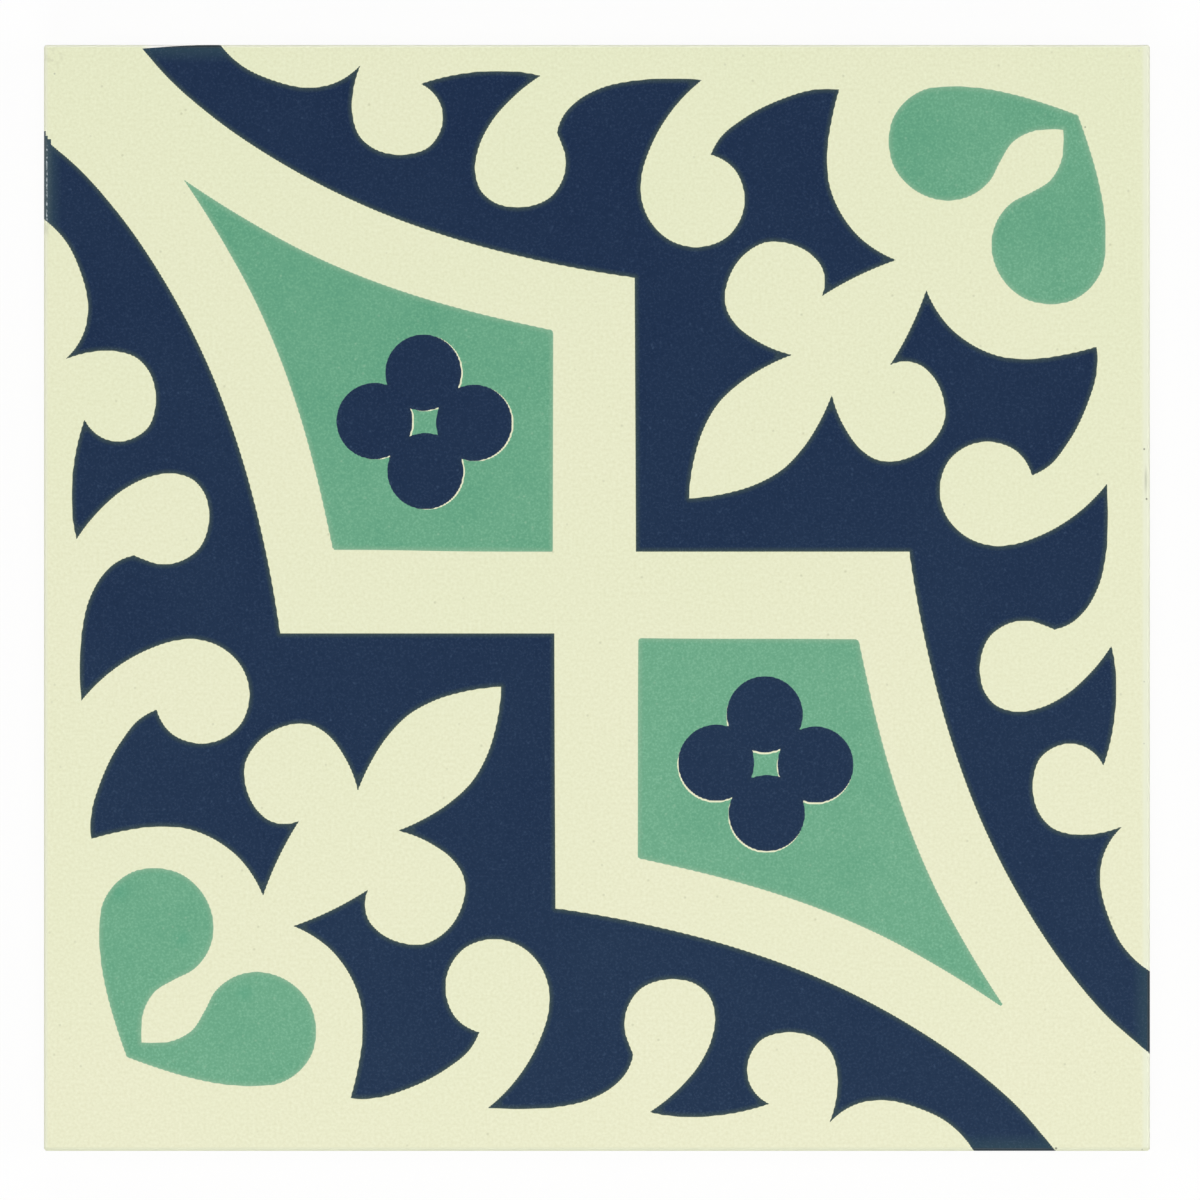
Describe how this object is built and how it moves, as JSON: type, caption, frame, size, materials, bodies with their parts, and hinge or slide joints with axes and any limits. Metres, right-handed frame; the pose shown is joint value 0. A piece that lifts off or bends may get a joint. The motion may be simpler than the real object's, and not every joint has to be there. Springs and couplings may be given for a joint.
{
  "type": "ceramic tile",
  "caption": "Square glazed ceramic wall tile with a rounded face arris, drafted sides and a keyed back; its face carries a printed ornament in dark blue and sea green on cream.",
  "frame": {"origin": "middle of the bed plane, on the back of the tile", "axes": "+Z out of the glazed face, +X to the right and +Y up as the face is seen in the picture, both along the tile's sides"},
  "size_m": [0.145, 0.145, 0.008],
  "materials": {
    "tile": "satin",
    "dark_blue_print": "satin",
    "sea_green_print": "satin"
  },
  "bodies": {
    "root": {"tile": "tile"}
  },
  "joints": []
}
